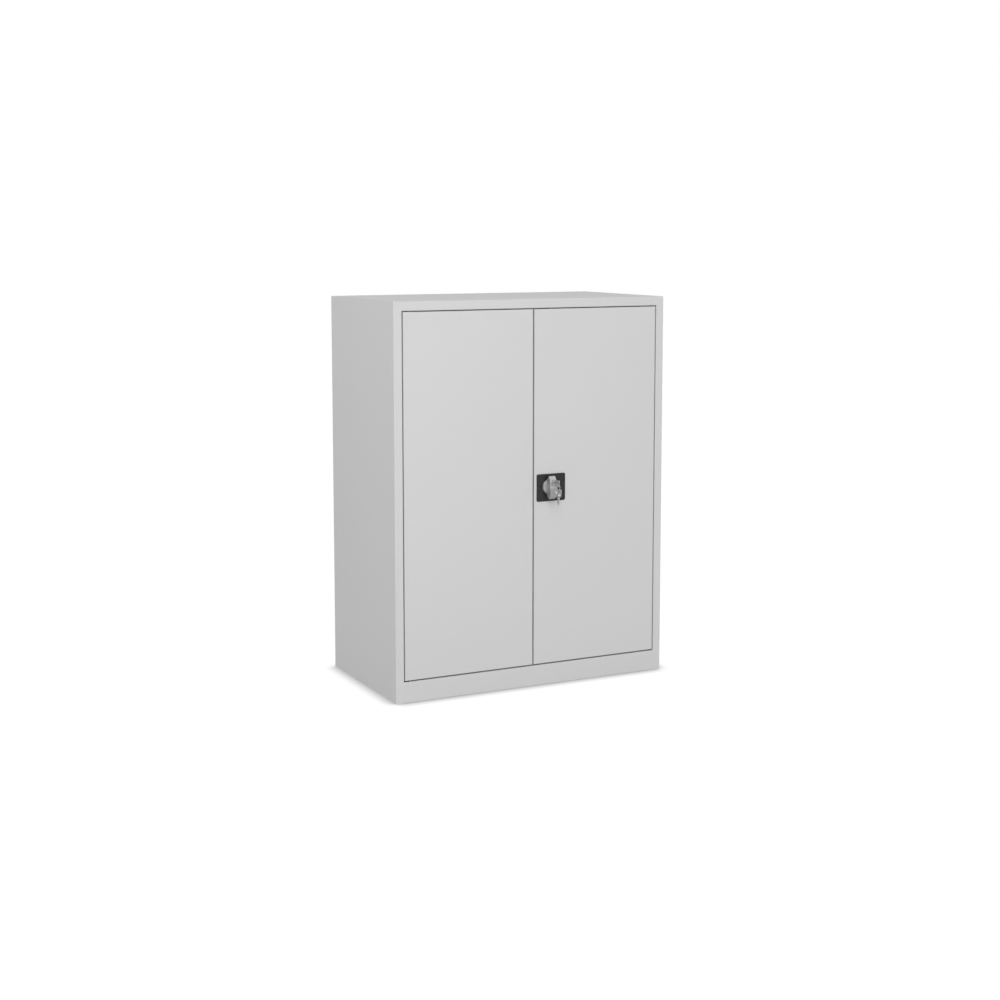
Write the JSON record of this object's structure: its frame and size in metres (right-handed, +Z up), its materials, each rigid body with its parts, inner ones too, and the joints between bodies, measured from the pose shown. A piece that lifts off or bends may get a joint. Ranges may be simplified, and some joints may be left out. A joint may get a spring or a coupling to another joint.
{
  "type": "metal storage cabinet",
  "caption": "Steel storage cabinet with inset hinged double doors, adjustable shelves and a keyed knob that drives lock rods up and down.",
  "frame": {"origin": "centre of the bounding box's base, on the floor", "axes": "+X to the right seen from the front, +Y towards the back, +Z up"},
  "size_m": [0.8, 0.5, 1.04],
  "materials": {
    "body_paint": "satin powder coat",
    "door_paint": "satin powder coat",
    "inner_paint": "satin powder coat",
    "zinc": "zinc plated",
    "rod_steel": "drawn, zinc plated",
    "satin_chrome": "satin",
    "nickel": "nickel plated",
    "black_plate": "fine matte",
    "nylon": "moulded",
    "rubber": "moulded"
  },
  "bodies": {
    "cabinet": {"left_side_panel": "body_paint", "right_side_panel": "body_paint", "top_panel": "body_paint", "bottom_panel": "body_paint", "back_panel": "body_paint", "left_front_upright": "inner_paint", "left_rear_upright": "inner_paint", "right_front_upright": "inner_paint", "right_rear_upright": "inner_paint", "lower_shelf": "inner_paint", "lower_shelf_stiffener": "inner_paint", "lower_shelf_clips": "zinc", "upper_shelf": "inner_paint", "upper_shelf_stiffener": "inner_paint", "upper_shelf_clips": "zinc", "door_buffers": "rubber", "left_lower_pivot": "zinc", "left_upper_pivot": "zinc", "right_lower_pivot": "zinc", "right_upper_pivot": "zinc", "lower_pivot_washers": "nylon", "upper_pivot_washers": "nylon", "lower_keeper": "zinc", "upper_keeper": "zinc"},
    "left_door": {"left_door_panel": "door_paint", "left_door_stiffener": "inner_paint", "left_door_bushes": "nylon", "centre_keeper": "zinc"},
    "right_door": {"right_door_panel": "door_paint", "right_door_stiffener": "inner_paint", "right_door_bushes": "nylon", "lock_plate": "black_plate", "lock_case": "zinc", "lock_case_cover": "zinc", "lock_case_screws": "zinc", "rod_guides": "nylon"},
    "handle": {"handle_knob": "satin_chrome", "spindle": "zinc", "spindle_nut": "zinc", "pinion": "zinc", "latch_tongue": "zinc"},
    "key": {"cylinder_plug": "nickel", "key": "nickel"},
    "key_ring": {"key_ring": "nickel"},
    "spare_key": {"spare_key": "nickel"},
    "upper_rod": {"upper_rack": "zinc", "upper_rod": "rod_steel"},
    "lower_rod": {"lower_rack": "zinc", "lower_rod": "rod_steel"}
  },
  "joints": [
    {"name": "left_door_hinge", "type": "hinge", "parent": "cabinet", "child": "left_door", "pos_m": [-0.3665, -0.17927, 0], "axis": [0, 0, -1], "range_deg": [0, 110]},
    {"name": "right_door_hinge", "type": "hinge", "parent": "cabinet", "child": "right_door", "pos_m": [0.3665, -0.17927, 0], "axis": [0, 0, 1], "range_deg": [0, 110]},
    {"name": "handle_turn", "type": "hinge", "parent": "right_door", "child": "handle", "pos_m": [0.044, -0.18596, 0.54], "axis": [0, -1, 0], "range_deg": [0, 90]},
    {"name": "upper_rod_slide", "type": "slide", "parent": "right_door", "child": "upper_rod", "axis": [0, 0, 1], "range_m": [0, 0.0166]},
    {"name": "lower_rod_slide", "type": "slide", "parent": "right_door", "child": "lower_rod", "axis": [0, 0, -1], "range_m": [0, 0.0166]},
    {"name": "key_turn", "type": "hinge", "parent": "handle", "child": "key", "pos_m": [0.044, -0.18596, 0.5545], "axis": [0, -1, 0], "range_deg": [0, 90]},
    {"name": "ring_swing", "type": "hinge", "parent": "key", "child": "key_ring", "pos_m": [0.044, -0.24346, 0.55325], "axis": [-0.829, -0.5592, 0], "range_deg": [-10, 40]},
    {"name": "spare_key_swing", "type": "hinge", "parent": "key_ring", "child": "spare_key", "pos_m": [0.044, -0.24346, 0.53655], "axis": [-0.829, -0.5592, 0], "range_deg": [-10, 40]}
  ],
  "couplings": [
    {"joint": "upper_rod_slide", "follows": "handle_turn", "m_per_rad": 0.0105},
    {"joint": "lower_rod_slide", "follows": "handle_turn", "m_per_rad": 0.0105}
  ]
}
